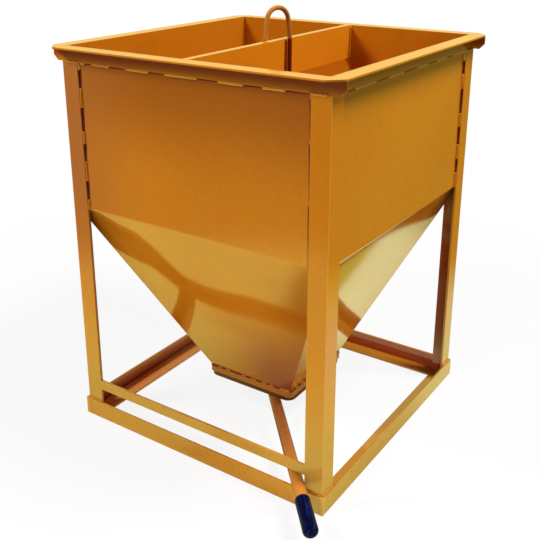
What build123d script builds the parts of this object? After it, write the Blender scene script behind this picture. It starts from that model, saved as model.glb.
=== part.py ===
# Gravel bucket: a square steel hopper on an angle iron stand, emptied through a swinging gate.
#
# Millimetres, +Z up. The origin is on the floor under the centre of the stand.
# The front looks along -Y, and the lever comes out of it to the right, towards +X.
import os
from math import acos, asin, atan, atan2, cos, hypot, radians, sin, tan

from build123d import *

os.makedirs("parts", exist_ok=True)

# Hopper
hopper_inside = 762.0  # clear width of the square box
sheet = 4.76  # wall plate
hopper_top = 1066.8  # rim above the floor
knee_height = 638.0  # where the walls turn in
knee_radius = 10.0  # inside radius of that bend
mouth_outside = 272.0  # width over the sloping walls at the outlet

# Rolled angles of the stand and the rim: width and thickness of their legs
leg_width = 50.8
leg_thick = 6.35
rail_width = 50.8
rail_thick = 6.35
rim_width = 38.1
rim_thick = 4.76
toe_radius = 2.4  # rounding of the toes
rim_corner_clip = 31.75  # off the flat flange, at the ends of the front and rear rim
rim_corner_ease = 12.0  # rounding where that clip starts and ends
rim_lower_clip = 14.0  # off the upright flange, at the same ends

# Lifting gear
crossbar_depth = 98.0
crossbar_thick = 19.05
bail_rod = 12.7
bail_bend = 32.0  # radius of the top bend, to the middle of the rod
bail_height = 89.0  # from the rim to the outside of the bend
bail_spread = 34.0  # from the middle of the crossbar to each leg, along the bar
bail_set_above = 4.0  # where its spread legs straighten, above the crossbar
bail_set = 60.0  # radius of that bend
bail_foot_gap = 10.0  # from the feet to the lower edge of the crossbar

# Outlet, gate and pivot
outlet_lip = 0.7  # step of the flange inside the mouth
flange_margin = 6.0  # flange outside the mouth
flange_thick = 15.88
flange_corner = 12.0
gate_thick = 9.52
gate_corner = 25.0
ear_radius = 23.0
pivot_left = 24.5  # pivot beyond the mouth, to the left
pivot_rear = 2.2  # and to the rear
bolt_diameter = 15.88
bolt_head_width = 23.8
bolt_head_height = 10.0
bolt_end = 4.0  # bolt past the nut
nut_height = 13.5
nut_collar_height = 4.0  # round locking collar, part of the nut's height
nut_collar_inset = 1.6
washer_outside = 34.0
washer_thick = 2.0
hex_bevel = 1.0

# Lever, grip and guide
lever_diameter = 31.75
lever_wall = 3.2
lever_over_rail = 6.05  # lever above the base rail
lever_stop_gap = 1.2  # lever beside the right leg, with the gate shut
lever_pivot_gap = 12.0  # inner end of the lever beyond the pivot washer
bare_lever = 72.0  # from the face of the rail to the grip
grip_length = 114.3
grip_wall = 2.9
grip_cap = 6.0  # thickness of the closed end
grip_dome = 13.0  # rounding of the closed end
grip_dome_steps = 4  # cones that it is turned in
grip_lip = 1.2  # bevel of the open end
guide_depth = 28.6
guide_thick = 6.35
guide_gap = 2.9  # guide bar above the lever

# Fits
turning_clearance = 0.08  # pivot bolt in the gate, on the radius
bolt_clearance = 0.3  # bolt in the ear and the washers, on the radius
thread_clearance = 0.05  # nut on the bolt, on the radius
grip_clearance = 0.1  # grip on the lever, on the radius

# Places worked out from those sizes
wall_out = hopper_inside / 2 + sheet
leg_out = wall_out + leg_thick
leg_edge = leg_out - leg_width
rail_out = leg_out + rail_thick
rim_out = wall_out + rim_width

lever_radius = lever_diameter / 2
lever_height = rail_width + lever_over_rail + lever_radius
gate_bottom = lever_height + lever_radius
gate_top = gate_bottom + gate_thick
flange_bottom = gate_top + washer_thick
flange_top = flange_bottom + flange_thick
guide_bottom = gate_bottom + guide_gap

mouth_out = mouth_outside / 2
slope = atan((wall_out - mouth_out) / (knee_height - flange_top))
mouth_in = mouth_out - sheet / cos(slope)
opening = mouth_in - outlet_lip
flange_half = mouth_out + flange_margin

pivot = Vector(-(mouth_out + pivot_left), mouth_out + pivot_rear, 0)
bolt_radius = bolt_diameter / 2

# The shut lever lies beside the right leg, and its turn from straight ahead follows from that
reach_x = leg_edge - lever_stop_gap - pivot.X
reach_y = pivot.Y + leg_out
lever_turn = acos(lever_radius / hypot(reach_x, reach_y)) - atan2(reach_y, reach_x)
lever_dir = Vector(sin(lever_turn), -cos(lever_turn), 0)
lever_origin = pivot + Vector(0, 0, lever_height)
lever_start = washer_outside / 2 + lever_pivot_gap
grip_start = (pivot.Y + rail_out) / cos(lever_turn) + bare_lever
grip_end = grip_start + grip_length

up = Vector(0, 0, 1)
sides = {"front": 0, "right": 90, "rear": 180, "left": 270}
corners = {"front_left": (-1, -1), "front_right": (1, -1), "rear_left": (-1, 1), "rear_right": (1, 1)}


def outward(turn):
    """Direction out of the side at this turn about Z, in degrees: the front is at 0."""
    return Vector(sin(radians(turn)), -cos(radians(turn)), 0)


def section_plane(turn):
    """Upright plane across a side: X points out of it and Y up."""
    return Plane(origin=(0, 0, 0), x_dir=outward(turn), z_dir=outward(turn).cross(up))


def mitre_planes(turn):
    """The two upright planes that bound a side at its corners, facing into it."""
    return [Plane(origin=(0, 0, 0), z_dir=outward(turn + half)) for half in (-45, 45)]


def angle_iron(heel, first, second, width, thick):
    """Rolled angle in the active sketch: legs from its heel along two square directions, toes rounded."""
    first_toe = heel + first * width + second * thick
    second_toe = heel + second * width + first * thick
    outline = Polygon(
        heel,
        heel + first * width,
        first_toe,
        heel + (first + second) * thick,
        second_toe,
        heel + second * width,
        align=None,
    )
    fillet([outline.vertices().sort_by_distance(toe)[0] for toe in (first_toe, second_toe)], toe_radius)


def eared_plate(half, corner):
    """Square plate in the active sketch, with an ear that reaches out to the pivot."""
    RectangleRounded(2 * half, 2 * half, corner)
    SlotCenterPoint(pivot / 2, pivot, 2 * ear_radius)


def save(piece, name):
    piece.part.label = name
    export_step(piece.part, f"parts/{name}.step")


# Hopper walls: one bent sheet a side, mitred to its neighbours
for side, turn in sides.items():
    with BuildPart() as wall:
        with BuildSketch(section_plane(turn)) as profile:
            with BuildLine():
                Polyline(
                    (wall_out, hopper_top),
                    (wall_out, knee_height),
                    (mouth_out, flange_top),
                    (mouth_in, flange_top),
                    (wall_out - sheet, knee_height + sheet * tan(slope / 2)),
                    (wall_out - sheet, hopper_top),
                    close=True,
                )
            make_face()
            fillet(profile.vertices().sort_by_distance((wall_out, knee_height))[0], knee_radius + sheet)
            fillet(profile.vertices().sort_by_distance((wall_out - sheet, knee_height))[0], knee_radius)
        extrude(amount=wall_out, both=True)
        for mitre in mitre_planes(turn):
            split(bisect_by=mitre, keep=Keep.TOP)
    save(wall, f"wall_{side}")

# Base rails: angles lying on the floor, mitred, with the upright leg outside
for side, turn in sides.items():
    with BuildPart() as rail:
        with BuildSketch(section_plane(turn)):
            angle_iron(Vector(rail_out, 0), Vector(-1, 0), Vector(0, 1), rail_width, rail_thick)
        extrude(amount=rail_out, both=True)
        for mitre in mitre_planes(turn):
            split(bisect_by=mitre, keep=Keep.TOP)
    save(rail, f"base_rail_{side}")

# Legs: they stand on the flat of the rails, inside their upright, and end under the rim
for corner, (sx, sy) in corners.items():
    with BuildPart() as leg:
        with BuildSketch(Plane.XY.offset(rail_thick)):
            heel = Vector(sx * leg_out, sy * leg_out)
            angle_iron(heel, Vector(-sx, 0), Vector(0, -sy), leg_width, leg_thick)
        extrude(amount=hopper_top - rim_width - rail_thick)
    save(leg, f"leg_{corner}")

# Rim: the front and rear angles run past the corners, clipped there, and the side ones fit between
for side, turn in sides.items():
    runs_past = side in ("front", "rear")
    half_length = rim_out if runs_past else wall_out
    flat_plane = Plane(origin=(0, 0, hopper_top - rim_thick), x_dir=outward(turn), z_dir=up)
    upright_plane = Plane(origin=outward(turn) * wall_out, x_dir=up.cross(outward(turn)), z_dir=outward(turn))
    with BuildPart() as rim:
        with BuildSketch(flat_plane) as flat:
            with Locations((wall_out + rim_width / 2, 0)):
                Rectangle(rim_width, 2 * half_length)
            if runs_past:
                chamfer(flat.vertices().group_by(Axis.X)[-1], rim_corner_clip)
                fillet(flat.vertices().sort_by(Axis.X)[2:], rim_corner_ease)
        extrude(amount=rim_thick)
        with BuildSketch(upright_plane) as upright:
            with Locations((0, hopper_top - (rim_width + rim_thick) / 2)):
                Rectangle(2 * half_length, rim_width - rim_thick)
            if runs_past:
                chamfer(upright.vertices().group_by(Axis.Y)[0], rim_lower_clip)
        extrude(amount=rim_thick)
    save(rim, f"rim_{side}")

# Lifting crossbar: a flat bar on edge between the front and rear walls, flush with the rim
with BuildPart() as crossbar:
    with BuildSketch(Plane.XY.offset(hopper_top - crossbar_depth)):
        Rectangle(crossbar_thick, hopper_inside)
    extrude(amount=crossbar_depth)
save(crossbar, "lifting_crossbar")

# Lifting bail: a round bar bent over the crossbar, one leg welded down each of its faces.
# It stands askew, so that its front leg is on the left face and its rear leg on the right face.
leg_offset = (crossbar_thick + bail_rod) / 2
leg_reach = hypot(leg_offset, bail_spread)
bail_plane = Plane(
    origin=(0, 0, 0),
    x_dir=(leg_offset, bail_spread, 0),
    z_dir=Vector(leg_offset, bail_spread, 0).cross(up),
)
bend_height = hopper_top + bail_height - bail_rod / 2 - bail_bend
set_height = hopper_top + bail_set_above
rise = bend_height - set_height
splay = atan2(leg_reach, rise) - asin(bail_bend / hypot(leg_reach, rise))
tangent_x = bail_bend * cos(splay)
tangent_y = bend_height + bail_bend * sin(splay)
foot_height = hopper_top - crossbar_depth + bail_foot_gap
with BuildPart() as bail:
    with BuildLine(bail_plane) as centre:
        Polyline((-leg_reach, foot_height), (-leg_reach, set_height), (-tangent_x, tangent_y))
        ThreePointArc((-tangent_x, tangent_y), (0, bend_height + bail_bend), (tangent_x, tangent_y))
        Polyline((tangent_x, tangent_y), (leg_reach, set_height), (leg_reach, foot_height))
        set_points = [bail_plane.from_local_coords((x, set_height, 0)) for x in (-leg_reach, leg_reach)]
        fillet([centre.vertices().sort_by_distance(point)[0] for point in set_points], bail_set)
    with BuildSketch(Plane(origin=centre.line @ 0, z_dir=centre.line % 0)):
        Circle(bail_rod / 2)
    sweep(path=centre.line)
save(bail, "lifting_bail")

# Outlet flange: a heavy square ring under the mouth, with the ear for the pivot bolt
with BuildPart() as flange:
    with BuildSketch(Plane.XY.offset(flange_bottom)):
        eared_plate(flange_half, flange_corner)
        Rectangle(2 * opening, 2 * opening, mode=Mode.SUBTRACT)
        with Locations(pivot):
            Circle(bolt_radius + bolt_clearance, mode=Mode.SUBTRACT)
    extrude(amount=flange_thick)
save(flange, "outlet_flange")

# Gate plate: as wide as the flange, a washer below it, turning on the bolt
with BuildPart() as gate:
    with BuildSketch(Plane.XY.offset(gate_bottom)):
        eared_plate(flange_half, gate_corner)
        with Locations(pivot):
            Circle(bolt_radius + turning_clearance, mode=Mode.SUBTRACT)
    extrude(amount=gate_thick)
save(gate, "gate_plate")

# Pivot: bolt head on the ear, washers above the ear, under it and under the gate, and a lock nut
nut_top = gate_bottom - washer_thick
nut_bottom = nut_top - nut_height
head_bottom = flange_top + washer_thick
with BuildPart() as bolt:
    with BuildSketch(Plane(pivot).offset(head_bottom)):
        RegularPolygon(bolt_head_width / 2, 6, major_radius=False)
    extrude(amount=bolt_head_height)
    chamfer(bolt.faces().sort_by(Axis.Z)[-1].edges(), hex_bevel)
    with BuildSketch(Plane(pivot).offset(nut_bottom - bolt_end)):
        Circle(bolt_radius)
    extrude(amount=head_bottom - nut_bottom + bolt_end)
    chamfer(bolt.faces().sort_by(Axis.Z)[0].edges(), hex_bevel)
save(bolt, "pivot_bolt")

with BuildPart() as washers:
    for bottom in (flange_top, gate_top, nut_top):
        with BuildSketch(Plane(pivot).offset(bottom)):
            Circle(washer_outside / 2)
            Circle(bolt_radius + bolt_clearance, mode=Mode.SUBTRACT)
        extrude(amount=washer_thick)
save(washers, "pivot_washers")

with BuildPart() as nut:
    with BuildSketch(Plane(pivot).offset(nut_bottom + nut_collar_height)):
        RegularPolygon(bolt_head_width / 2, 6, major_radius=False)
    extrude(amount=nut_height - nut_collar_height)
    with BuildSketch(Plane(pivot).offset(nut_bottom)):
        Circle(bolt_head_width / 2 - nut_collar_inset)
    extrude(amount=nut_collar_height)
    with Locations(Plane(pivot).offset(nut_top)):
        Hole(bolt_radius + thread_clearance)
save(nut, "pivot_nut")

# Lever: a tube under the gate, level, from beside the pivot to inside the end of the grip
with BuildPart() as lever:
    with BuildSketch(Plane(lever_origin + lever_dir * lever_start, z_dir=lever_dir)):
        Circle(lever_radius)
        Circle(lever_radius - lever_wall, mode=Mode.SUBTRACT)
    extrude(amount=grip_end - grip_cap - lever_start)
save(lever, "lever_tube")

# Grip: a dipped sleeve with a closed, rounded end, turned about the lever
grip_bore = lever_radius + grip_clearance
grip_radius = grip_bore + grip_wall
dome_angles = [radians(90 * step / grip_dome_steps) for step in range(grip_dome_steps + 1)]
dome_x = grip_end - grip_dome
dome_y = grip_radius - grip_dome
with BuildPart() as grip:
    with BuildSketch(Plane(lever_origin, x_dir=lever_dir, z_dir=lever_dir.cross(up))) as sleeve:
        with BuildLine():
            Polyline(
                (grip_start, grip_bore),
                (grip_start, grip_radius),
                *[(dome_x + grip_dome * sin(a), dome_y + grip_dome * cos(a)) for a in dome_angles],
                (grip_end, 0),
                (grip_end - grip_cap, 0),
                (grip_end - grip_cap, grip_bore),
                close=True,
            )
        make_face()
        chamfer(sleeve.vertices().sort_by_distance((grip_start, grip_radius))[0], grip_lip)
    revolve(axis=Axis(lever_origin, lever_dir))
save(grip, "lever_grip")

# Guide bar: between the edges of the front legs, flush with their face, just over the lever
with BuildPart() as guide:
    with BuildSketch(Plane.XY.offset(guide_bottom)):
        with Locations((0, guide_thick / 2 - leg_out)):
            Rectangle(2 * leg_edge, guide_thick)
    extrude(amount=guide_depth)
save(guide, "guide_bar")
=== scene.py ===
# %% [markdown]
# # Dressing a gravel bucket
# A gravel bucket is a square steel hopper on a stand of angle iron. A crane or a fork lift carries it
# by the bail, and someone swings the lever to let the gravel out of the gate underneath.
# The solids come from the CAD model, so this lesson only adds what paint, weld and light do to them.
# Everything is in metres, +Z up, with the origin on the floor under the middle of the stand.

import math
import random

import bpy
from mathutils import Matrix, Vector


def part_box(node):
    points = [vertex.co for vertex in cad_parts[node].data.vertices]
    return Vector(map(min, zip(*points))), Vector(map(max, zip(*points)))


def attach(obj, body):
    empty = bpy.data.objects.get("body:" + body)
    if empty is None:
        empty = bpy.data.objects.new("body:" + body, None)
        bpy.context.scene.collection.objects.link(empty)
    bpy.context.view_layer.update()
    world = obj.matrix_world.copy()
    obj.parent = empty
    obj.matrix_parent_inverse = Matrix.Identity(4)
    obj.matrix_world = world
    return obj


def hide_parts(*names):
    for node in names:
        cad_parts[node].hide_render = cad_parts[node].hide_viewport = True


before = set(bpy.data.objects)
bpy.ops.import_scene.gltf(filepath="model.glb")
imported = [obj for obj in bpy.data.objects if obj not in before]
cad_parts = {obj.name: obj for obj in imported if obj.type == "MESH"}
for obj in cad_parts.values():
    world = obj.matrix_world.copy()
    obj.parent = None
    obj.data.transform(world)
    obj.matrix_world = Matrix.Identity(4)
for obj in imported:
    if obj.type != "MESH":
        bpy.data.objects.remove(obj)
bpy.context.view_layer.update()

# %% [markdown]
# ## Places on the frame
# Welds and seams sit where two solids meet, so their places are read from those solids, most of them
# from their boxes. Reading them keeps the dressing in place when the CAD model changes its sizes.

# %% Read the places that the welds need
near = 0.0005
wall_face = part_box("wall_right")[1][0]
front_points = [vertex.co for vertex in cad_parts["wall_front"].data.vertices]
knee_level = min(point.z for point in front_points if point.y < near - wall_face)
mouth_level = min(point.z for point in front_points)
mouth_face = -min(point.y for point in front_points if point.z < mouth_level + near)
leg_low, leg_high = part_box("leg_front_right")
leg_face = leg_high[0]
leg_edge = leg_low[0]
rim_low, rim_top = [corner[2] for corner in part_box("rim_front")]
rail_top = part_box("base_rail_right")[1][2]
bar_low, bar_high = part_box("lifting_crossbar")
flange_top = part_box("outlet_flange")[1][2]
bail_low, bail_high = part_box("lifting_bail")
gate_under, gate_top = [corner[2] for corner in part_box("gate_plate")]
print("wall face", round(wall_face, 4), "rim underside", round(rim_low, 4))
print("knee", round(knee_level, 4), "mouth", round(mouth_face, 4), "at", round(mouth_level, 4))
print("leg edge", round(leg_edge, 4), "leg face", round(leg_face, 4))

# %% [markdown]
# ## Camera
# The photograph was taken from the front right, a little above the rim, with a short telephoto lens.
# Its place, turn and tilt were fitted to the corners of the rim and of the base rails.
# The shift moves the picture on the sensor, because the photograph was cropped off centre.

# %% Set the camera
picture_size = 540
focal_pixels = 817.95
centre_pixels = (267.75, 199.46)
camera_place = (1.1973, -1.8155, 1.3703)
camera_turn = math.radians(34.0866)
camera_tilt = math.radians(19.0055)
sensor = 36

bpy.ops.object.camera_add(location=camera_place, rotation=(math.pi / 2 - camera_tilt, 0, camera_turn))
camera = bpy.context.object
camera.data.sensor_width = sensor
camera.data.lens = sensor * focal_pixels / picture_size
camera.data.shift_x = 0.5 - centre_pixels[0] / picture_size
camera.data.shift_y = centre_pixels[1] / picture_size - 0.5
bpy.context.scene.camera = camera
bpy.context.scene.view_settings.view_transform = "Standard"
print("lens", round(camera.data.lens, 2), "mm")

# %% [markdown]
# ## Node wires
# A material is a tree of nodes. Wiring it by hand hides the idea under bookkeeping, so one small
# class wraps an output socket: sums on it add Math nodes, and one method adds any other node.

# %% Wrap a socket
class Wire:
    """An output socket that can stand in a Python sum."""

    def __init__(self, socket):
        self.socket = socket

    def node(self, kind, settings, sockets, out=0):
        """Add any node to the same tree and return one of its outputs."""
        tree = self.socket.id_data
        made = tree.nodes.new(kind)
        for name, value in settings.items():
            setattr(made, name, value)
        for name, value in sockets.items():
            if isinstance(value, Wire):
                tree.links.new(value.socket, made.inputs[name])
            else:
                made.inputs[name].default_value = value
        return Wire(made.outputs[out])

    def maths(self, operation, first, second):
        return self.node("ShaderNodeMath", {"operation": operation}, {0: first, 1: second})

    def __add__(self, other):
        return self.maths("ADD", self, other)

    __radd__ = __add__

    def __sub__(self, other):
        return self.maths("SUBTRACT", self, other)

    def __rsub__(self, other):
        return self.maths("SUBTRACT", other, self)

    def __mul__(self, other):
        return self.maths("MULTIPLY", self, other)

    __rmul__ = __mul__


# %% Helpers that every finish uses
def new_finish(name):
    """A material with an empty Principled shader, and a wire with the place on the object."""
    finish = bpy.data.materials.new(name)
    finish.use_nodes = True
    tree = finish.node_tree
    tree.nodes.clear()
    output = tree.nodes.new("ShaderNodeOutputMaterial")
    shader = tree.nodes.new("ShaderNodeBsdfPrincipled")
    tree.links.new(shader.outputs[0], output.inputs["Surface"])
    place = Wire(tree.nodes.new("ShaderNodeTexCoord").outputs["Object"])
    return finish, shader, place


def feed(shader, name, wire):
    """Join a wire to one socket of the shader."""
    wire.socket.id_data.links.new(wire.socket, shader.inputs[name])


def axis_of(place, axis):
    """One coordinate of the place, as a wire."""
    return place.node("ShaderNodeSeparateXYZ", {}, {0: place}, out=axis)


def noise(place, scale, detail=2.0):
    """Soft cloudy noise from 0 to 1, with about this many clouds in a metre."""
    return place.node("ShaderNodeTexNoise", {}, {"Vector": place, "Scale": scale, "Detail": detail})


def ramp(wire, low, high):
    """0 below low, 1 above high, and a smooth rise between."""
    settings = {"interpolation_type": "SMOOTHSTEP"}
    return wire.node("ShaderNodeMapRange", settings, {"Value": wire, "From Min": low, "From Max": high})


def between(wire, rise, fall):
    """1 between a smooth rise and a smooth fall, each given by its two ends, and 0 outside."""
    return ramp(wire, *rise) * (1 - ramp(wire, *fall))


def mix_colours(mask, first, second):
    """The first colour where the mask is 0 and the second where it is 1."""
    return mask.node("ShaderNodeMix", {"data_type": "RGBA"}, {0: mask, 6: first, 7: second}, out=2)


def bump(height, depth, under=None):
    """A normal that follows a height from 0 to 1, this many metres deep, on top of another normal."""
    sockets = {"Height": height, "Distance": depth, "Strength": 1.0}
    if under:
        sockets["Normal"] = under
    return height.node("ShaderNodeBump", {}, sockets)


# %% [markdown]
# ## Floor and background
# The bucket is shown cut out on white. A floor that is only lit would come out grey, and
# more lamps would burn the paint out. So rays from the camera see a floor that is mostly white by
# itself and keeps some of the shadow. The light that warms the paint from below comes from a pale
# floor with a painted pool of light: its colour is paler near the bucket and darker far off.

# %% Make the floor
floor_width = 60.0
shadow_share = 0.12
shadow_reach = (0.9, 2.2)
pool_middle = (0.0, -0.32, 0.0)
pool_reach = (1.25, 1.85)
white = (1, 1, 1, 1)
shadow_floor = (0.84, 0.84, 0.84, 1)
# Painted pool of light: the floor's colour is paler near the bucket and darker far off.
painted_pool_floor = (0.94, 0.94, 0.94, 1)
painted_far_floor = (0.35, 0.35, 0.35, 1)

bpy.ops.object.select_all(action="DESELECT")
bpy.ops.mesh.primitive_plane_add(size=floor_width)
floor = bpy.context.object
floor.name = "floor"
floor_paint = bpy.data.materials.new("pale_floor")
floor_paint.use_nodes = True
floor_tree = floor_paint.node_tree
floor_tree.nodes.clear()
floor_place = Wire(floor_tree.nodes.new("ShaderNodeTexCoord").outputs["Object"])


def lit_paint(colour):
    """Floor that shows the light and shadow on it."""
    return floor_place.node("ShaderNodeBsdfDiffuse", {}, {"Color": colour})


def bright_paint(colour):
    """Floor that has this brightness by itself."""
    return floor_place.node("ShaderNodeEmission", {}, {"Color": colour, "Strength": 1.0})


def mix_paints(share, first, second):
    """The first paint where the share is 0 and the second where it is 1."""
    return floor_place.node("ShaderNodeMixShader", {}, {0: share, 1: first, 2: second})


def floor_distance(middle):
    """How far a point of the floor is from this place."""
    ends = {0: floor_place, 1: middle}
    return floor_place.node("ShaderNodeVectorMath", {"operation": "DISTANCE"}, ends, out="Value")


near_bucket = 1 - ramp(floor_distance((0, 0, 0)), *shadow_reach)
shown_floor = mix_paints(near_bucket * shadow_share, bright_paint(white), lit_paint(shadow_floor))
# Painted pool of light on the floor that lights the bucket from below.
outside_pool = ramp(floor_distance(pool_middle), *pool_reach)
lit_floor = lit_paint(mix_colours(outside_pool, painted_pool_floor, painted_far_floor))
print("floor", floor_width, "m wide")

# %% [markdown]
# ## What the paint mirrors
# Gloss paint mirrors the ground round the bucket. In the photograph that ground is cut away, and only
# its image in the slopes is left: a bright yellowish pool near the bucket, dull beyond it and under
# the hopper, with darker strips beside the rails and in front of the near leg.
# The floor shows this pool to reflections only. Its places were worked back from that image.

# %% Paint the mirrored pool
# Painted reflection: for reflections the floor glows with these colours though it is no lamp, a painted
# pool of light.
front_pool = (1.08, 1.10, 0.25, 1)
rear_pool = (1.10, 1.18, 0.58, 1)
side_pool = (1.05, 1.10, 0.10, 1)
painted_hopper_shadow = (0.30, 0.26, 0.08, 1)
painted_rail_shadow = (0.56, 0.60, 0.08, 1)
painted_strip_shadow = (0.30, 0.26, 0.05, 1)
front_far = (0.03, 0.04, 0.05, 1)
rear_far = (0.22, 0.26, 0.04, 1)
shade_middle = (0.16, -0.10, 0.0)
shade_reach = (0.18, 0.48)
to_side = (0.75, 1.05)
to_rear = (-0.2, 0.4)
to_far_rear = (-0.2, 0.6)
strip_slant = 0.19
rail_share = 0.36
leg_share = 0.9

across, depth = axis_of(floor_place, "X"), axis_of(floor_place, "Y")
behind = mix_colours(ramp(across, *to_side), rear_pool, side_pool)
pool = mix_colours(ramp(depth, *to_rear), front_pool, behind)
# Painted shadows in the mirrored pool: under the hopper, beside the right rail, inside the front rail
# and in front of the stand.
pool = mix_colours(ramp(floor_distance(shade_middle), *shade_reach), painted_hopper_shadow, pool)
beside_rail = ramp(across - depth * strip_slant, 0.133, 0.159) * (1 - ramp(across, 0.36, 0.42))
pool = mix_colours(beside_rail * ramp(depth, 0.40, 0.45), pool, painted_rail_shadow)
inside_rail = between(depth, (-0.40, -0.36), (-0.31, -0.25)) * ramp(across, -0.36, -0.22)
pool = mix_colours(inside_rail * rail_share, pool, painted_strip_shadow)
before_leg = between(across, (-0.085, 0.0), (0.10, 0.20))
before_leg = before_leg * between(depth, (-0.60, -0.50), (-0.42, -0.40))
pool = mix_colours(before_leg * leg_share, pool, painted_strip_shadow)
beyond = mix_colours(ramp(depth, *to_far_rear), front_far, rear_far)
mirror_floor = bright_paint(mix_colours(outside_pool, pool, beyond))
print("the mirrored pool ends", pool_reach[1], "m from its middle")


# %% Show each ray its floor
def light_paths(tree):
    """Wires that are 1 for rays from the camera, and for rays from a reflection or through glass."""
    paths = tree.nodes.new("ShaderNodeLightPath")
    camera_ray, glossy_ray, through_ray = [
        Wire(paths.outputs[name]) for name in ("Is Camera Ray", "Is Glossy Ray", "Is Transmission Ray")
    ]
    return camera_ray, camera_ray.maths("MAXIMUM", glossy_ray, through_ray)


camera_ray, mirror_ray = light_paths(floor_tree)
whole_floor = mix_paints(camera_ray, mix_paints(mirror_ray, lit_floor, mirror_floor), shown_floor)
floor_output = floor_tree.nodes.new("ShaderNodeOutputMaterial")
floor_tree.links.new(whole_floor.socket, floor_output.inputs["Surface"])
floor.data.materials.append(floor_paint)
print("floor nodes", len(floor_tree.nodes))

# %% [markdown]
# ## White background
# Past the floor the camera sees plain white, and reflections see a duller, warmer sky.
# As a light the sky is weak, because the lamps are there to give the bucket its light and shade.

# %% Make the sky
world_light = 0.05
mirror_sky = (0.80, 0.83, 0.34, 1)

world = bpy.data.worlds.new("studio")
bpy.context.scene.world = world
world.use_nodes = True
world_tree = world.node_tree
world_tree.nodes.clear()
camera_ray, mirror_ray = light_paths(world_tree)
strength = world_light + camera_ray.maths("MAXIMUM", camera_ray, mirror_ray) * (1 - world_light)
sky_colour = mix_colours(mirror_ray, white, mirror_sky)
sky = strength.node("ShaderNodeBackground", {}, {"Color": sky_colour, "Strength": strength})
world_output = world_tree.nodes.new("ShaderNodeOutputWorld")
world_tree.links.new(sky.socket, world_output.inputs["Surface"])
print("sky light", world_light)

# %% [markdown]
# ## Lamps
# Inside the hopper the crossbar and the left wall throw a clear slanting shadow to the right, so the
# main lamp stands up on the left. A second one, high on the right, lights the crossbar's right face.
# A large weak one low in front lifts the shade a little. All are area lamps, which give the soft
# edges of studio light. Reflections don't show them, because the real paint shows no lamps.

# %% Hang the lamps
def hang_lamp(name, place, aim, size, light):
    """An area lamp that gives a surface facing it this share of full light."""
    place, aim = Vector(place), Vector(aim)
    bpy.ops.object.light_add(type="AREA", location=place)
    lamp = bpy.context.object
    lamp.name = name
    lamp.rotation_euler = (aim - place).to_track_quat("-Z", "Y").to_euler()
    lamp.data.size = size
    lamp.data.energy = light * math.pi ** 2 * (aim - place).length_squared
    lamp.visible_glossy = False
    print(name, round(lamp.data.energy), "W")


hopper_middle = (0, 0, 0.85)
slope_middle = (0, 0, 0.6)
hang_lamp("main_lamp", (-1.95, -2.6, 3.6), hopper_middle, size=1.1, light=0.70)
hang_lamp("right_lamp", (2.15, 0.7, 4.6), hopper_middle, size=1.3, light=1.27)
hang_lamp("front_lamp", (-0.6, -3.6, 0.9), slope_middle, size=2.0, light=0.10)

# %% [markdown]
# ## Orange enamel
# Every steel piece is sprayed with one gloss enamel. The paint is a clear shine over a deep orange,
# so it mirrors whatever is near: the pale floor, the rails, the legs.
# The sheet under it isn't quite flat. Slow waves from rolling and welding bend those reflections,
# and the sprayed skin has a very fine orange peel. Rolled angles are stiffer and stay straighter.

# %% Mix the enamel
new_paint = ((0.65, 0.203, 0.006, 1), (0.73, 0.247, 0.008, 1))
# Painted shade: a darker copy of the enamel for the outlet and lever, which lie in the hopper's shade.
outlet_shade_paint = ((0.24, 0.068, 0.018, 1), (0.32, 0.095, 0.022, 1))
drift_scale = 3.0
mottle_scale = 110.0
gloss_scale = 14.0
peel_scale = 260.0
soft_cloud = (0.3, 0.7)
drift_share = 0.55
smoothest = 0.045
rough_range = 0.06


def enamel(
    name, sheet_wave, wave_scale=2.2, peel=0.00003, bend=None, wear_and_shade=None, shine=1.9, colours=new_paint
):
    """Gloss paint over steel with waves this many metres deep, and with its own bend, wear and painted
    shade.
    """
    finish, shader, place = new_finish(name)
    drift = ramp(noise(place, drift_scale, 3.0), *soft_cloud)
    mottle = ramp(noise(place, mottle_scale, 3.0), *soft_cloud)
    colour = mix_colours(drift * drift_share + mottle * (1 - drift_share), *colours)
    if wear_and_shade:
        colour = wear_and_shade(place, colour)
    feed(shader, "Base Color", colour)
    feed(shader, "Roughness", smoothest + rough_range * noise(place, gloss_scale, 4.0))
    shader.inputs["IOR"].default_value = shine
    height = noise(place, wave_scale, 0.0) * sheet_wave
    if bend:
        height = height + bend(place)
    waves = bump(height, 1.0)
    skin = bump(noise(place, peel_scale, 1.0), peel, under=waves)
    feed(shader, "Normal", skin)
    return finish


def paint(finish, *nodes):
    """Give CAD nodes this finish."""
    for node in nodes:
        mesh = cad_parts[node].data
        mesh.materials.clear()
        mesh.materials.append(finish)


# %% [markdown]
# ## Painted shade on the walls
# The paint isn't the same everywhere: its colour is painted darker where shade falls. It is deeper
# under the rim, on the upper left, in the upper corners of the slopes and near the mouth. Inside,
# beside the crossbar, a painted shadow of the crossbar darkens it.

# %% Painted shade on the walls
# Painted shade: the deep orange that the rim's shadow and the near leg's shade leave.
painted_shade_colour = (0.42, 0.115, 0.005, 1)
# Painted shade: a darker, duller tone for the dim upper left of the front wall and the left legs.
left_shade_colour = (0.49, 0.162, 0.028, 1)
# Painted shade near the mouth of the hopper.
mouth_shade_colour = (0.34, 0.070, 0.030, 1)
# Painted shadow: dark red for the crossbar's shadow inside and for the shade under the rim's flange.
crossbar_and_rim_shade = (0.26, 0.040, 0.004, 1)
# Painted shade: near black red for the deepest corners.
corner_shade_colour = (0.075, 0.003, 0.001, 1)
slope_run = (wall_face - mouth_face) / (knee_level - mouth_level)
corner_shade_levels = (0.46, 0.63)
corner_shade_width = 0.16
mouth_shade_levels = (0.12, 0.46)
mouth_shade_across = (-0.06, 0.14)
mouth_shade_least = 0.06


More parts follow.
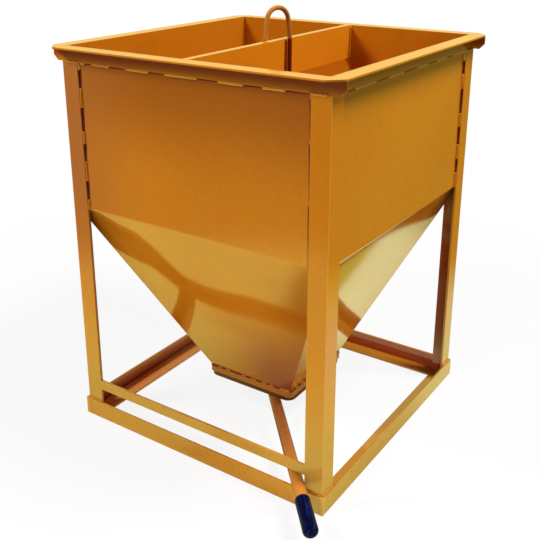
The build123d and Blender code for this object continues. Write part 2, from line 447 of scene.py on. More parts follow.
def under_rim_shade(level, share=1.0):
    """Painted shade that deepens the colour of a wall from this level up to the rim."""
    def wear_and_shade(place, colour):
        return mix_colours(ramp(axis_of(place, "Z"), level, rim_low) * share, colour, painted_shade_colour)
    return wear_and_shade


def corner_shade(place, along, colour, share=1.0):
    """Painted shade in the upper corner of a slope, at the end where this coordinate is lowest."""
    z = axis_of(place, "Z")
    from_edge = along + mouth_face + (z - mouth_level) * slope_run
    slope_top = between(z, corner_shade_levels, (knee_level - 0.002, knee_level))
    return mix_colours((1 - ramp(from_edge, 0.0, corner_shade_width)) * slope_top * share, colour, corner_shade_colour)


def right_shade(place, colour):
    """Painted shade close under the rim, and in the far corner of the slope."""
    return corner_shade(place, axis_of(place, "Y") * -1, under_rim_shade(0.97, share=0.5)(place, colour))


def front_shade(place, colour):
    """Painted shade under the rim, on the upper left, behind the right leg, in a corner and near the
    mouth.
    """
    x, z = axis_of(place, "X"), axis_of(place, "Z")
    # Painted shade on the upper left of the front wall.
    upper_left_shade = (1 - ramp(x, -0.36, -0.10)) * ramp(z, 0.58, 0.66)
    colour = mix_colours(upper_left_shade * 0.5, under_rim_shade(0.76)(place, colour), left_shade_colour)
    # Painted shade of the near leg on the right of the front slope.
    behind_leg = ramp(x, 0.10, 0.32) * (1 - ramp(z, 0.45, 0.66))
    colour = mix_colours(behind_leg * 0.9, colour, painted_shade_colour)
    colour = corner_shade(place, x, colour, share=0.5)
    # Painted shade near the mouth, weaker on the left.
    mouth_shade_share = mouth_shade_least + (1 - mouth_shade_least) * ramp(x, *mouth_shade_across)
    return mix_colours((1 - ramp(z, *mouth_shade_levels)) * mouth_shade_share * 0.9, colour, mouth_shade_colour)


def rear_shade(place, colour):
    """Painted shade under the rim, and a painted shadow of the crossbar inside, on its right."""
    x, y, z = axis_of(place, "X"), axis_of(place, "Y"), axis_of(place, "Z")
    inner_face = 1 - ramp(y, wall_face - 0.0035, wall_face - 0.0015)
    upright = between(z, (knee_level, knee_level + 0.05), (0.98, 1.05))
    # Painted shadow of the crossbar on the inner face of the rear wall.
    beside_bar = between(x, (bar_high[0], bar_high[0] + 0.002), (0.03, 0.13))
    colour = under_rim_shade(0.72, share=0.5)(place, colour)
    return mix_colours(inner_face * upright * beside_bar * 0.6, colour, crossbar_and_rim_shade)


print("slopes run in", round(slope_run, 3), "m for each metre down")

# %% [markdown]
# ## Painted light and dust on the stand
# Legs and rails are rolled angles. Their outer corners get a painted highlight, and pale dust lies on
# the low parts, where it also stands in for light. The left side is painted darker, the left rail's
# flats lighter and the right rail's inside darker, for the light and shade there. The inner faces get
# painted shade: lighter on the rails, darker up the legs and darkest deep in the corners.

# %% Painted light and dust on the stand
# Dust, which also stands in for light on the low parts; a painted highlight; painted light on flats.
dust_and_light = (0.48, 0.44, 0.11, 1)
edge_highlight = (0.90, 0.42, 0.06, 1)
lit_flat_paint = (0.98, 0.39, 0.11, 1)
rail_shade = (0.28, 0.100, 0.004, 1)
# Painted shade on the inner faces: lighter on the rails, darker up the legs.
rail_inner_shade = (0.62, 0.125, 0.072, 1)
leg_inner_shade = (0.30, 0.046, 0.022, 1)
angle_steel = leg_face - wall_face
left_end = (-0.34, -0.30)
right_end = (0.30, 0.34)
dust_levels = (0.02, 0.45)
left_shade_levels = (0.20, 0.80)
flat_levels = (0.0066, 0.0072)
inner_shade_levels = (0.007, 0.010)
corner_levels = (0.30, 0.62)
foot_levels = (0.010, 0.044)


def reach_of(place, which="MAXIMUM"):
    """How far out from the middle a point is, along X or along Y, whichever is more (or less)."""
    x, y = axis_of(place, "X"), axis_of(place, "Y")
    return x.maths(which, x.maths("ABSOLUTE", x, 0.0), y.maths("ABSOLUTE", y, 0.0))


def left_of_stand(place):
    """1 on the legs and the rail of the left side."""
    return 1 - ramp(axis_of(place, "X"), *left_end)


def angles_dust_and_light(place, colour):
    """Dust that also stands in for light, painted shade and light on the angles, and a painted edge
    highlight.
    """
    z = axis_of(place, "Z")
    left, right = left_of_stand(place), ramp(axis_of(place, "X"), *right_end)
    on_rail = 1 - ramp(z, rail_top, rail_top + 0.01)
    dust_and_light_share = 0.36 + 0.12 * right - 0.18 * on_rail * (1 - right)
    colour = mix_colours((1 - ramp(z, *dust_levels)) * dust_and_light_share, colour, dust_and_light)
    # Painted shade up the legs on the left.
    colour = mix_colours(left * ramp(z, *left_shade_levels), colour, left_shade_colour)
    inside = 1 - ramp(reach_of(place), leg_face + 0.0055, leg_face + 0.006)
    flat = 1 - ramp(z, *flat_levels)
    edge = between(z, (rail_top - 0.0006, rail_top - 0.0002), (rail_top + 0.0002, rail_top + 0.0006))
    # Painted shade inside the right rail, and painted light on the left rail's flats.
    colour = mix_colours(right * inside * (flat + edge) * 0.65, colour, rail_shade)
    colour = mix_colours(left * inside * flat * 0.85, colour, lit_flat_paint)
    # Painted highlight along the outer corner of each angle.
    heel = ramp(reach_of(place, "MINIMUM"), leg_face - 0.002, leg_face - 0.0008)
    return mix_colours(heel * 0.4, colour, edge_highlight)


def stand_light_and_dust(place, colour):
    """Painted shade on the inner faces of the angles, and dust and painted light elsewhere."""
    z = axis_of(place, "Z")
    below_rail_top = 1 - ramp(z, rail_top, rail_top + 0.0005)
    face = reach_of(place) - angle_steel * below_rail_top
    inner = (1 - ramp(face, wall_face + 0.0003, wall_face + 0.001)) * ramp(z, *inner_shade_levels)
    # Painted shade, deepest in the inner corners, higher up the legs and at the foot of the left rail.
    in_corner = ramp(reach_of(place, "MINIMUM"), leg_edge, wall_face - 0.008)
    shaded = in_corner * (0.6 + 0.4 * ramp(z, *corner_levels))
    shaded = shaded + left_of_stand(place) * (1 - ramp(z, *foot_levels)) * 0.8
    inner_shade = mix_colours(ramp(z, rail_top, 0.10), rail_inner_shade, leg_inner_shade)
    inner_shade = mix_colours(shaded, inner_shade, corner_shade_colour)
    return mix_colours(inner * 0.9, angles_dust_and_light(place, colour), inner_shade)


print("angles are", round(angle_steel, 5), "m thick")

# %% [markdown]
# ## Painted shade on the rim, the bail and the outlet
# Under the rim's flat flange painted shade darkens the corner. The bail has a darker, duller tone,
# more on its right half, with painted shade on its leg beside the crossbar. The gate's edge gets
# painted shade, and the flange and the outer end of the lever get painted light.

# %% Painted shade on the rim, the bail and the outlet
# A darker, duller tone for the bail, and painted shade for its leg beside the crossbar.
bail_dark_tone = (0.26, 0.12, 0.03, 1)
bail_leg_shade = (0.14, 0.008, 0.002, 1)
# Painted shade for the gate's edge, and a painted lit copy of the outlet's paint.
gate_edge_shade = (0.10, 0.028, 0.012, 1)
lit_outlet_paint = (0.58, 0.215, 0.030, 1)


def rim_shade(place, colour):
    """Painted shade in the corner under the rim's flat flange."""
    z = axis_of(place, "Z")
    corner = between(z, (rim_low - 0.004, rim_low + 0.022), (rim_top - 0.0045, rim_top - 0.0035))
    return mix_colours(corner * 0.85, colour, crossbar_and_rim_shade)


def bail_darkening(place, colour):
    """A darker, duller tone on the bail, more on its right half, and painted shade on its leg beside the
    crossbar.
    """
    right = ramp(axis_of(place, "X"), 0.004, 0.010)
    beside_bar = right * (1 - ramp(axis_of(place, "Z"), rim_top - 0.002, rim_top + 0.004))
    return mix_colours(beside_bar, mix_colours(0.35 + right * 0.35, colour, bail_dark_tone), bail_leg_shade)


def outlet_light_and_shade(place, colour):
    """Painted light on the flange and towards the grip, and painted shade on the gate's edge."""
    y, z = axis_of(place, "Y"), axis_of(place, "Z")
    above_gate = ramp(z, gate_top + 0.0004, gate_top + 0.0012)
    # Painted shade along the gate's edge.
    shaded_edge = ramp(z, gate_under + 0.0001, gate_under + 0.0004) * (1 - above_gate)
    colour = mix_colours(shaded_edge * 0.85, colour, gate_edge_shade)
    colour = mix_colours(above_gate * 0.6, colour, lit_outlet_paint)
    return mix_colours(1 - ramp(y, -0.46, -0.25), colour, lit_outlet_paint)


# %% [markdown]
# ## Bends of the slopes
# Welding pulls a sheet a little out of true. How much was read from the photograph, where the front
# and right slopes mirror the rails and legs in bent lines. The bends are shallow curves in the
# surface that only reflections show, so they go into the paint as a bump.

# %% Bends of the slopes
still_level = 0.28
lean_top = 0.54
lean_share = 0.05


def front_bend(place):
    """The right half of the front slope leans back a little, and its left half is slightly hollow."""
    x, z = axis_of(place, "X"), axis_of(place, "Z")
    lean = (still_level - place.maths("MINIMUM", z, lean_top)) * lean_share * ramp(x, -0.20, 0.10)
    level = place.maths("MINIMUM", z, knee_level) - 0.35
    beside = x + 0.2
    hollow = beside * (0.0082 + 0.014 * level + 0.1063 * beside) + level * (0.0284 * level - 0.0156)
    return lean + hollow * (1 - ramp(x, -0.25, 0.02))


def right_bend(place):
    """The right slope bulges more and more towards the mouth."""
    y, z = axis_of(place, "Y"), axis_of(place, "Z")
    level = place.maths("MINIMUM", z, knee_level) - 0.4
    bulge = y * y * (0.0807 - 0.319 * level)
    return bulge + level * (0.0076 + 0.015 * level + 0.0079 * y) - 0.0154 * y


# %% [markdown]
# ## Paint on every piece
# One function mixed the enamel, so each kind of piece only says how flat it is and what wear
# and painted shade its colour gets.
# The CAD nodes keep their shapes and take the paint in place of the plain colour they came with.

# %% Paint the pieces
sides = ("front", "right", "rear", "left")
corners = {"front_left": (-1, -1), "front_right": (1, -1), "rear_left": (-1, 1), "rear_right": (1, 1)}
rims = [f"rim_{side}" for side in sides]
rails = [f"base_rail_{side}" for side in sides]
legs = [f"leg_{corner}" for corner in corners]
bent_sheet = {"sheet_wave": 0.0015}
wavy_sheet = {"sheet_wave": 0.006}
rolled = {"sheet_wave": 0.0008, "wave_scale": 5.0}

sheet_enamel = enamel("sheet_enamel", wear_and_shade=under_rim_shade(0.72, share=0.5), **wavy_sheet)
front_enamel = enamel("front_sheet_enamel", bend=front_bend, wear_and_shade=front_shade, **bent_sheet)
right_enamel = enamel("right_sheet_enamel", bend=right_bend, wear_and_shade=right_shade, **bent_sheet)
rear_enamel = enamel("rear_sheet_enamel", wear_and_shade=rear_shade, **wavy_sheet)
section_enamel = enamel("section_enamel", shine=1.6, **rolled)
bail_enamel = enamel("bail_enamel", wear_and_shade=bail_darkening, shine=1.6, **rolled)
stand_enamel = enamel("stand_enamel", wear_and_shade=stand_light_and_dust, shine=1.65, **rolled)
rim_enamel = enamel("rim_enamel", wear_and_shade=rim_shade, **rolled)
shaded_outlet_enamel = enamel("shaded_outlet_enamel", sheet_wave=0.0004, wear_and_shade=outlet_light_and_shade, shine=1.42, colours=outlet_shade_paint)
paint(front_enamel, "wall_front")
paint(right_enamel, "wall_right")
paint(rear_enamel, "wall_rear")
paint(sheet_enamel, "wall_left")
paint(rim_enamel, *rims)
paint(stand_enamel, *rails, *legs, "guide_bar")
paint(section_enamel, "lifting_crossbar")
paint(bail_enamel, "lifting_bail")
paint(shaded_outlet_enamel, "outlet_flange", "gate_plate", "lever_tube")
print("paints:", len([material for material in bpy.data.materials if "enamel" in material.name]))

# %% [markdown]
# ## Zinc plated pivot
# The bolt, washers and nut at the gate's pivot are bright zinc, a little blotchy and duller than
# chrome. A metal's colour is in its reflection, so the zinc is metallic with an uneven roughness.

# %% Plate the pivot
dull_zinc = (0.50, 0.49, 0.46, 1)
bright_zinc = (0.66, 0.66, 0.65, 1)

zinc, shader, place = new_finish("zinc_plate")
blotches = ramp(noise(place, 160.0, 3.0), 0.35, 0.65)
feed(shader, "Base Color", mix_colours(blotches, dull_zinc, bright_zinc))
feed(shader, "Roughness", 0.28 + 0.22 * blotches)
feed(shader, "Normal", bump(noise(place, 900.0), 0.00002))
shader.inputs["Metallic"].default_value = 1.0
paint(zinc, "pivot_bolt", "pivot_washers", "pivot_nut")
print("plated", zinc.name)

# %% [markdown]
# ## Turned shapes
# The grip and the weld beads are both round along a line. By hand one would add a circle and extrude
# it ring by ring, making each ring wider or narrower. A spin would do for the grip alone,
# but ring by ring works for the rippled bead too.

# %% Extrude a round shape ring by ring
smooth_below = math.radians(50)


def ring_shape(name, rings, points):
    """A closed round shape along +X, with one ring for each (place, radius)."""
    bpy.ops.object.select_all(action="DESELECT")
    first_place, first_radius = rings[0]
    bpy.ops.mesh.primitive_circle_add(
        vertices=points,
        radius=first_radius,
        fill_type="NGON",
        location=(first_place, 0, 0),
        rotation=(0, math.pi / 2, 0),
    )
    shape = bpy.context.object
    shape.name = name
    bpy.ops.object.transform_apply(location=True, rotation=True, scale=True)
    bpy.ops.object.mode_set(mode="EDIT")
    bpy.ops.mesh.select_all(action="SELECT")
    for (place, radius), (next_place, next_radius) in zip(rings, rings[1:]):
        bpy.ops.mesh.extrude_region_move(TRANSFORM_OT_translate={"value": (next_place - place, 0, 0)})
        grow = next_radius / radius
        bpy.ops.transform.resize(value=(1, grow, grow), center_override=(next_place, 0, 0))
    bpy.ops.mesh.select_all(action="SELECT")
    bpy.ops.mesh.normals_make_consistent(inside=False)
    bpy.ops.object.mode_set(mode="OBJECT")
    bpy.ops.object.shade_smooth_by_angle(angle=smooth_below)
    return shape


def point_along(start, direction):
    """The matrix that turns +X to this direction and moves the origin to start."""
    return Matrix.Translation(start) @ direction.to_track_quat("X", "Z").to_matrix().to_4x4()


# %% [markdown]
# ## Place of the grip
# The grip is a sleeve on the end of the lever, which lies at an angle to the frame.
# The two rings of points at the ends of the lever's tube give its axis, and the CAD grip is
# measured along that axis.

# %% Find the lever and its grip
def tube_ends(node):
    """Centres of the two end rings of a straight level tube, the one with the larger Y first."""
    points = [vertex.co.copy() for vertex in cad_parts[node].data.vertices]
    points.sort(key=lambda point: -point.y)
    middle = (points[0].y + points[-1].y) / 2
    centres = []
    for end in ([p for p in points if p.y > middle], [p for p in points if p.y <= middle]):
        low = Vector([min(p[axis] for p in end) for axis in range(3)])
        high = Vector([max(p[axis] for p in end) for axis in range(3)])
        centres.append((low + high) / 2)
    return centres


just_inside = 0.997
lever_start, lever_end = tube_ends("lever_tube")
lever_way = (lever_end - lever_start).normalized()
grip_low, grip_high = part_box("lever_grip")
grip_radius = (grip_high[2] - grip_low[2]) / 2 * just_inside
grip_points = [vertex.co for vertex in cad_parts["lever_grip"].data.vertices]
grip_places = [(point - lever_start).dot(lever_way) for point in grip_points]
grip_begin = min(grip_places)
grip_length = max(grip_places) - grip_begin
print("grip", round(grip_length, 4), "long,", round(2 * grip_radius, 4), "across")

# %% [markdown]
# ## Dipped vinyl
# The sleeve is dark blue vinyl. It is cast by dipping, so its skin is smooth. Lighter blue streaks along
# it are a painted sheen for its highlights. A noise that is stretched along the lever gives those
# streaks.

# %% Mix the vinyl
deep_blue = (0.001, 0.002, 0.022, 1)
# Painted sheen: lighter blue streaks for the highlights along the sleeve.
painted_sheen_blue = (0.003, 0.020, 0.130, 1)
sheen_streak_length = 7

vinyl, shader, place = new_finish("dipped_vinyl")
lever_turn = (0, 0, math.atan2(lever_way.y, lever_way.x))
stretch = {"Vector": place, "Rotation": lever_turn, "Scale": (sheen_streak_length, 1, 1)}
along_lever = place.node("ShaderNodeMapping", {"vector_type": "TEXTURE"}, stretch)
sheen_streaks = ramp(noise(along_lever, 130.0, 2.0), 0.45, 0.70)
feed(shader, "Base Color", mix_colours(sheen_streaks, deep_blue, painted_sheen_blue))
feed(shader, "Roughness", 0.20 + 0.16 * sheen_streaks)
feed(shader, "Normal", bump(noise(place, 120.0), 0.00015))
shader.inputs["IOR"].default_value = 1.12
print("mixed", vinyl.name)

# %% [markdown]
# ## Shape of the grip
# The sleeve has a small rolled lip at its open end and a full round at its closed end.
# Each ring of the lip has its place and its share of the radius. The first ring is hidden inside
# the sleeve, where the lever fills it. A quarter circle of rings makes the round end.

# %% Model the grip
lip_rings = [(0.006, 0.84), (0.0, 0.85), (0.0, 0.93), (0.0005, 0.975), (0.0016, 1.0), (0.010, 0.995)]
waist_share = 0.992
dome = 0.013
dome_steps = 9
dome_turn = 88
tip_radii = (0.003, 0.0008)

grip_rings = [(place, share * grip_radius) for place, share in lip_rings]
grip_rings += [(grip_length * share, grip_radius * waist_share) for share in (0.3, 0.6)]
dome_start = grip_length - dome
for step in range(dome_steps + 1):
    angle = math.radians(dome_turn * step / dome_steps)
    ring_radius = grip_radius - dome + dome * math.cos(angle)
    grip_rings.append((dome_start + dome * math.sin(angle), ring_radius))
grip_rings += [(grip_length, radius) for radius in tip_radii]

grip = ring_shape("vinyl_grip", grip_rings, 40)
grip.data.transform(point_along(lever_start + lever_way * grip_begin, lever_way))
grip.data.materials.append(vinyl)
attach(grip, "gate")
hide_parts("lever_grip")
print("grip faces", len(grip.data.polygons))

# %% [markdown]
# ## One weld bead
# The plates are stitch welded: short beads with open seam between them. A bead is a row of frozen
# ripples, one for each move of the torch. It is modelled once, as a thin rippled bar along +X,
# and every weld on the bucket is a stretched copy of it, sunk half way into its corner.

# %% Model the bead
bead_length = 0.060
bead_radius = 0.004
ripples = 11
tip_share = 0.30
shoulder_place = 0.02
shoulder_share = 0.72
first_crest = 0.05
crest_span = 0.90
valley_place = 0.62
valley_share = 0.84

tip = bead_radius * tip_share
shoulder = bead_radius * shoulder_share
bead_rings = [(0.0, tip), (bead_length * shoulder_place, shoulder)]
for ripple in range(ripples):
    crest = bead_length * (first_crest + crest_span * ripple / (ripples - 1))
    bead_rings.append((crest, bead_radius))
    if ripple < ripples - 1:
        valley = crest + bead_length * crest_span * valley_place / (ripples - 1)
        bead_rings.append((valley, bead_radius * valley_share))
bead_rings += [(bead_length * (1 - shoulder_place), shoulder), (bead_length, tip)]
bead = ring_shape("bead_pattern", bead_rings, 8)
weld_enamel = enamel("weld_enamel", sheet_wave=0.0, peel=0.00006)
print("bead faces", len(bead.data.polygons))

# %% [markdown]
# ## Runs of weld
# A long weld is a row of beads, each a little thicker or thinner than the last, as a hand lays them.
# All the copies of one kind of weld are joined into one piece, which rides on the body it holds.

# %% Copy the bead along a run
hand = random.Random(11)
unevenness = (0.9, 1.12)
usual_bead = bead_length * 1.3
overlap_share = 0.04


def place_copy(pattern, name, matrix):
    """One copy of a pattern, moved by this matrix."""
    mesh = pattern.data.copy()
    mesh.transform(matrix)
    copy = bpy.data.objects.new(name, mesh)
    bpy.context.collection.objects.link(copy)
    return copy


def lay_bead(start, end, size):
    """One copy of the bead from start to end, with a little unevenness in its thickness."""
    along = end - start
    uneven = size * hand.uniform(*unevenness)
    stretched = Matrix.Diagonal((along.length / bead_length, uneven, uneven, 1))
    return place_copy(bead, "bead", point_along(start, along) @ stretched)


def lay_run(start, end, size=1.0):
    """A continuous weld, as copies of the bead end to end."""
    count = max(1, round((end - start).length / usual_bead))
    overlap = (end - start) / count * overlap_share
    stops = [start.lerp(end, step / count) for step in range(count + 1)]
    pairs = zip(stops, stops[1:])
    return [lay_bead(begin - overlap, stop + overlap, size) for begin, stop in pairs]


def gather(name, copies, finish, body="stand"):
    """Join copies into one piece that rides on a body."""
    bpy.ops.object.select_all(action="DESELECT")
    for copy in copies:
        copy.select_set(True)
    bpy.context.view_layer.objects.active = copies[0]
    bpy.ops.object.join()
    piece = bpy.context.object
    piece.name = name
    piece.data.materials.clear()
    piece.data.materials.append(finish)
    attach(piece, body)
    print(name, len(copies), "copies,", len(piece.data.polygons), "faces")


# %% [markdown]
# ## One open seam
# Between two beads the plates don't quite meet, and the paint doesn't reach into the gap: it shows as
# a dark dash, with shade down in the crevice. Cutting gaps into the solids would weaken the model, so
# each dash is a thin dark strip with pointed ends, laid over the corner: part bare steel, part painted
# shade. It is modelled once and copied too.

# %% Model the dark strip
strip_width = 0.005
strip_thick = 0.0006
point_length = 0.06
point_shares = (1, 0.45, 0.6)
at_end = 0.01

bpy.ops.object.select_all(action="DESELECT")
bpy.ops.mesh.primitive_cube_add(size=1, location=(0.5, 0, 0))
strip = bpy.context.object
strip.name = "strip_pattern"
bpy.ops.object.transform_apply(location=True, rotation=False, scale=False)
bpy.ops.object.mode_set(mode="EDIT")
for cut in (point_length, 1 - point_length):
    bpy.ops.mesh.select_all(action="SELECT")
    bpy.ops.mesh.bisect(plane_co=(cut, 0, 0), plane_no=(1, 0, 0))
bpy.ops.object.mode_set(mode="OBJECT")
for vertex in strip.data.vertices:
    vertex.select = vertex.co.x < at_end or vertex.co.x > 1 - at_end
bpy.ops.object.mode_set(mode="EDIT")
bpy.ops.transform.resize(value=point_shares, center_override=(0.5, 0, 0))
bpy.ops.object.mode_set(mode="OBJECT")
print("strip faces", len(strip.data.polygons))

# %% Its finish: bare steel in shadow, rust brown in places
dark_steel = (0.14, 0.020, 0.010, 1)
rust_brown = (0.28, 0.046, 0.020, 1)

# The strips' finish is part bare steel, part painted shade of the crevice.
open_seam_shade, shader, place = new_finish("open_seam_shade")
rust = ramp(noise(place, 90.0, 4.0), 0.4, 0.7)
feed(shader, "Base Color", mix_colours(rust, dark_steel, rust_brown))
feed(shader, "Roughness", 0.6 + 0.3 * rust)
feed(shader, "Normal", bump(noise(place, 400.0), 0.0001))
shader.inputs["Specular IOR Level"].default_value = 0.2


def lay_strip(start, end, across, width=strip_width):
    """One copy of the strip from start to end, its width along across."""
    along = end - start
    way, across = along.normalized(), Vector(across).normalized()
    turn = Matrix((way, across, way.cross(across))).transposed().to_4x4()
    stretched = Matrix.Diagonal((along.length, width, strip_thick, 1))
    return place_copy(strip, "strip", Matrix.Translation(start) @ turn @ stretched)


print("mixed", open_seam_shade.name)

# %% [markdown]
# ## Welds of the legs
# Each leg is stitched to the hopper along both its edges. The open stretches were measured on the
# photograph, from the underside of the rim down, on the left leg, on the near one and on the one at
# the right rear. The other edges repeat the first or the last pattern, each a little shifted, as a
# welder's hand would.

# %% Stitch the legs to the walls
left_leg_gaps = ((0.018, 0.066), (0.115, 0.178), (0.210, 0.258), (0.310, 0.363))
right_leg_gaps = ((0.028, 0.066), (0.105, 0.176), (0.212, 0.266), (0.305, 0.349))
near_leg_gaps = ((0.012, 0.100), (0.108, 0.236), (0.244, 0.386))
photographed = {
    ("front_left", True): left_leg_gaps,
    ("rear_right", False): right_leg_gaps,
    ("front_right", True): near_leg_gaps,
}
seam_length = rim_low - knee_level
bead_sink = 0.0013
wall_shadow_width = 0.007
strip_lift = 0.3
most_shift = 0.012


def rest_of(runs, begin, end):
    """The stretches from begin to end that these runs leave free."""
    edges = [begin] + [edge for run in runs for edge in run] + [end]
    return list(zip(edges[0::2], edges[1::2]))


def leg_seam(sx, sy, on_front):
    """A point on the seam of one leg edge, its out direction, and the way along the wall."""
    if on_front:
        return Vector((sx * leg_edge, sy * wall_face, rim_low)), Vector((0, sy, 0)), Vector((-sx, 0, 0))
    return Vector((sx * wall_face, sy * leg_edge, rim_low)), Vector((sx, 0, 0)), Vector((0, -sy, 0))


def down(stretch):
    """The two ends of a stretch, as moves down from the rim."""
    return [Vector((0, 0, -level)) for level in stretch]


leg_beads = []
leg_strips = []
for corner, (sx, sy) in corners.items():
    for on_front in (True, False):
        seam, out, away = leg_seam(sx, sy, on_front)
        shift = 0.0 if (corner, on_front) in photographed else hand.uniform(-most_shift, most_shift)
        pattern = photographed.get((corner, on_front), left_leg_gaps if sx < 0 else right_leg_gaps)
        gaps = [(top + shift, bottom + shift) for top, bottom in pattern]
        centre = seam + (out + away) * bead_sink
        for stitch in rest_of(gaps, 0.0, seam_length):
            leg_beads += lay_run(*[centre + end for end in down(stitch)])
        # The strips on the leg's edge are the open seam; the wider ones on the wall beside it are
        # painted shadow of the leg's edge.
        on_edge = seam + out * strip_width / 2 + away * strip_thick * strip_lift
        shadow_on_wall = seam + away * wall_shadow_width / 2 + out * strip_thick * strip_lift
        for gap in gaps:
            leg_strips.append(lay_strip(*[on_edge + end for end in down(gap)], out))
            leg_strips.append(lay_strip(*[shadow_on_wall + end for end in down(gap)], away, width=wall_shadow_width))
gather("leg_stitch_welds", leg_beads, weld_enamel)
gather("leg_open_seams", leg_strips, open_seam_shade)

# %% [markdown]
# ## Welds of the rim
# The rim's upright flange is stitched to the wall along its lower edge. The beads on the front and
# right sides follow the photograph, the rear and left sides repeat them. Each run is written for the
# front and turned about the upright axis to its own side.

# %% Stitch the rim to the walls
front_rim_stitches = (
    (-0.330, -0.320), (-0.292, -0.237), (-0.178, -0.110),
    (-0.055, 0.035), (0.100, 0.165), (0.220, 0.275),
)
right_rim_stitches = (
    (-0.282, -0.194), (-0.119, -0.053), (0.034, 0.085), (0.150, 0.205), (0.262, 0.320),
)
side_turns = {side: Matrix.Rotation(math.radians(90 * step), 4, "Z") for step, side in enumerate(sides)}
rim_bead_place = (wall_face + 0.0018, rim_low - 0.0012)
# Painted shadow: dark strips on the wall just under the flange's lower edge, between the beads.
rim_shadow_place = (wall_face + 0.0002, rim_low - 0.0024)
rim_shadow_width = 0.0048


def side_run(turn, stretch, face, level):
    """The two ends of a level stretch on one side, at this distance from the middle of the hopper."""
    return [turn @ Vector((x, -face, level)) for x in stretch]


rim_beads = []
rim_shadows = []
for side, turn in side_turns.items():
    pattern = front_rim_stitches if side in ("front", "rear") else right_rim_stitches
    for stitch in pattern:
        rim_beads += lay_run(*side_run(turn, stitch, *rim_bead_place), size=1.15)
    for gap in rest_of(pattern, -leg_edge, leg_edge):
        ends = side_run(turn, gap, *rim_shadow_place)
        rim_shadows.append(lay_strip(*ends, across=(0, 0, 1), width=rim_shadow_width))
gather("rim_stitch_welds", rim_beads, weld_enamel)
gather("rim_painted_shadows", rim_shadows, open_seam_shade)

# %% Weld the tops of the legs under the rim
leg_width = leg_face - leg_edge
top_out = 0.0058
top_drop = Vector((0, 0, 0.0004))
top_short = 0.012

top_beads = []
for sx, sy in corners.values():
    for on_front in (True, False):
        seam, out, away = leg_seam(sx, sy, on_front)
        start = seam + out * top_out - top_drop
        top_beads += lay_run(start, start - away * (leg_width - top_short), size=0.8)
gather("leg_top_welds", top_beads, weld_enamel)

# %% [markdown]
# ## Welds of the outlet
# The heavy flange under the mouth is stitched to the four sloping walls with short beads.
# The corner between wall and flange is open, so the dark strips lean across it.

# %% Stitch the flange to the mouth
flange_gaps = (
    (-mouth_face, -0.112), (-0.100, -0.084), (-0.070, -0.026), (-0.015, 0.006),
    (0.022, 0.044), (0.058, 0.070), (0.084, 0.106),
)
flange_stitches = rest_of(flange_gaps, -mouth_face, mouth_face)[1:]
flange_bead_place = (mouth_face + 0.0022, flange_top + 0.0012)
flange_strip_place = (mouth_face + 0.0022, flange_top + 0.0022)
flange_strip = 0.0066

flange_beads = []
flange_strips = []
for turn in side_turns.values():
    for stitch in flange_stitches:
        flange_beads += lay_run(*side_run(turn, stitch, *flange_bead_place), size=0.95)
    lean = turn @ Vector((0, -1, -1))
    for gap in flange_gaps:
        ends = side_run(turn, gap, *flange_strip_place)
        flange_strips.append(lay_strip(*ends, across=lean, width=flange_strip))
gather("flange_stitch_welds", flange_beads, shaded_outlet_enamel)
gather("flange_open_seams", flange_strips, open_seam_shade)

# %% [markdown]
# ## Closing seams of the hopper
# The four sloping walls meet in hips, closed by a full weld that was ground down before painting.
# A thin bead on each keeps the edge from looking like cut paper.

# %% Weld the hips
hip_top = (wall_face - 0.004, knee_level - 0.006)
hip_foot = (mouth_face, flange_top + 0.004)
hip_sink = 0.0012

hip_beads = []
for sx, sy in corners.values():
    inward = Vector((-sx, -sy, 0)) * hip_sink
    ends = [Vector((sx * reach, sy * reach, level)) + inward for reach, level in (hip_top, hip_foot)]
    hip_beads += lay_run(*ends, size=0.5)
gather("hip_welds", hip_beads, weld_enamel)

# %% [markdown]
# ## Welds of the lifting gear
# The crossbar carries the whole load, so its ends are welded to the walls down both faces, and the
# bail's legs are welded down both sides against the bar. Beside one side of each of those legs a dark
# strip is painted shadow, the shadow that the leg casts on the bar.

# %% Weld the crossbar
bar_out = 0.0015
bar_short = 0.004

lift_beads = []
for end in (bar_low[1], bar_high[1]):
    inward = -bar_out if end > 0 else bar_out
    for face in (bar_low[0] - bar_out, bar_high[0] + bar_out):
        levels = (bar_high[2] - bar_short, bar_low[2] + bar_short)
        lift_beads += lay_run(*[Vector((face, end + inward, level)) for level in levels])
print("crossbar beads", len(lift_beads))

# %% Weld the bail to the crossbar
bail_radius = (bail_high[0] - bar_high[0]) / 2
bail_spread = bail_high[1] - bail_radius
bail_face = bar_high[0] + 0.0022
bail_beside = 0.0052
bail_levels = (bail_low[2] + 0.003, bar_high[2] - 0.003)
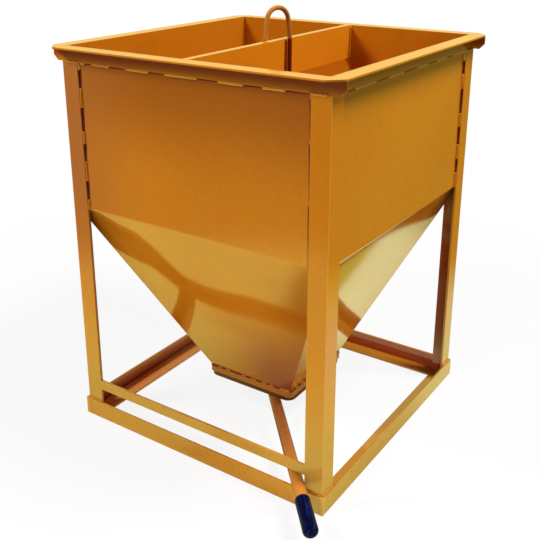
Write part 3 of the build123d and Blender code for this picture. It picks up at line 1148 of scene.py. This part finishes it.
# Painted shadow: a dark strip on the bar beside one side of each bail leg.
bail_shadow_face = bar_high[0] + 0.0003
bail_shadow_beside = bail_radius + 0.005
bail_shadow_levels = (bail_low[2] - 0.004, bar_high[2] - 0.004)
bail_shadow_width = 0.0115

bail_shadow_strips = []
for way in (-1, 1):
    for side in (-1, 1):
        spot = (way * bail_face, way * bail_spread + side * bail_beside)
        lift_beads += lay_run(*[Vector((*spot, level)) for level in bail_levels], size=0.85)
    spot = (way * bail_shadow_face, way * bail_spread - bail_shadow_beside)
    ends = [Vector((*spot, level)) for level in bail_shadow_levels]
    bail_shadow_strips.append(lay_strip(*ends, across=(0, 1, 0), width=bail_shadow_width))
gather("lifting_gear_welds", lift_beads, weld_enamel)
gather("bail_leg_shadows", bail_shadow_strips, open_seam_shade)

# %% [markdown]
# ## Welds of the stand
# Each leg stands inside the upright of two base rails and is welded along their top edge.

# %% Weld the legs to the rails
heel_reach = leg_face + 0.001
heel_level = rail_top + 0.0008
heel_short = 0.004

rail_beads = []
for sx, sy in corners.values():
    heel = Vector((sx * heel_reach, sy * heel_reach, heel_level))
    for outward in (Vector((sx, 0, 0)), Vector((0, sy, 0))):
        rail_beads += lay_run(heel - outward * leg_width, heel - outward * heel_short, size=0.8)
gather("rail_welds", rail_beads, weld_enamel)

# %% [markdown]
# ## Weld of the lever
# The lever is a tube welded along both sides to the underside of the gate plate, so it swings with it.

# %% Weld the lever to the gate
lever_side = lever_way.cross(Vector((0, 0, 1)))
weld_start = 0.004
weld_length = 0.30
weld_aside = 0.0085
weld_drop = 0.0018

lever_beads = []
for side in (-1, 1):
    start = lever_start + lever_way * weld_start + lever_side * side * weld_aside
    start.z = gate_under - weld_drop
    lever_beads += lay_run(start, start + lever_way * weld_length)
gather("lever_welds", lever_beads, shaded_outlet_enamel, body="gate")

# %% [markdown]
# ## Clear away the patterns
# The two patterns were only there to be copied. The dressed bucket must stay inside the box of the
# CAD model.

# %% Finish
for pattern in (bead, strip):
    bpy.data.objects.remove(pattern)
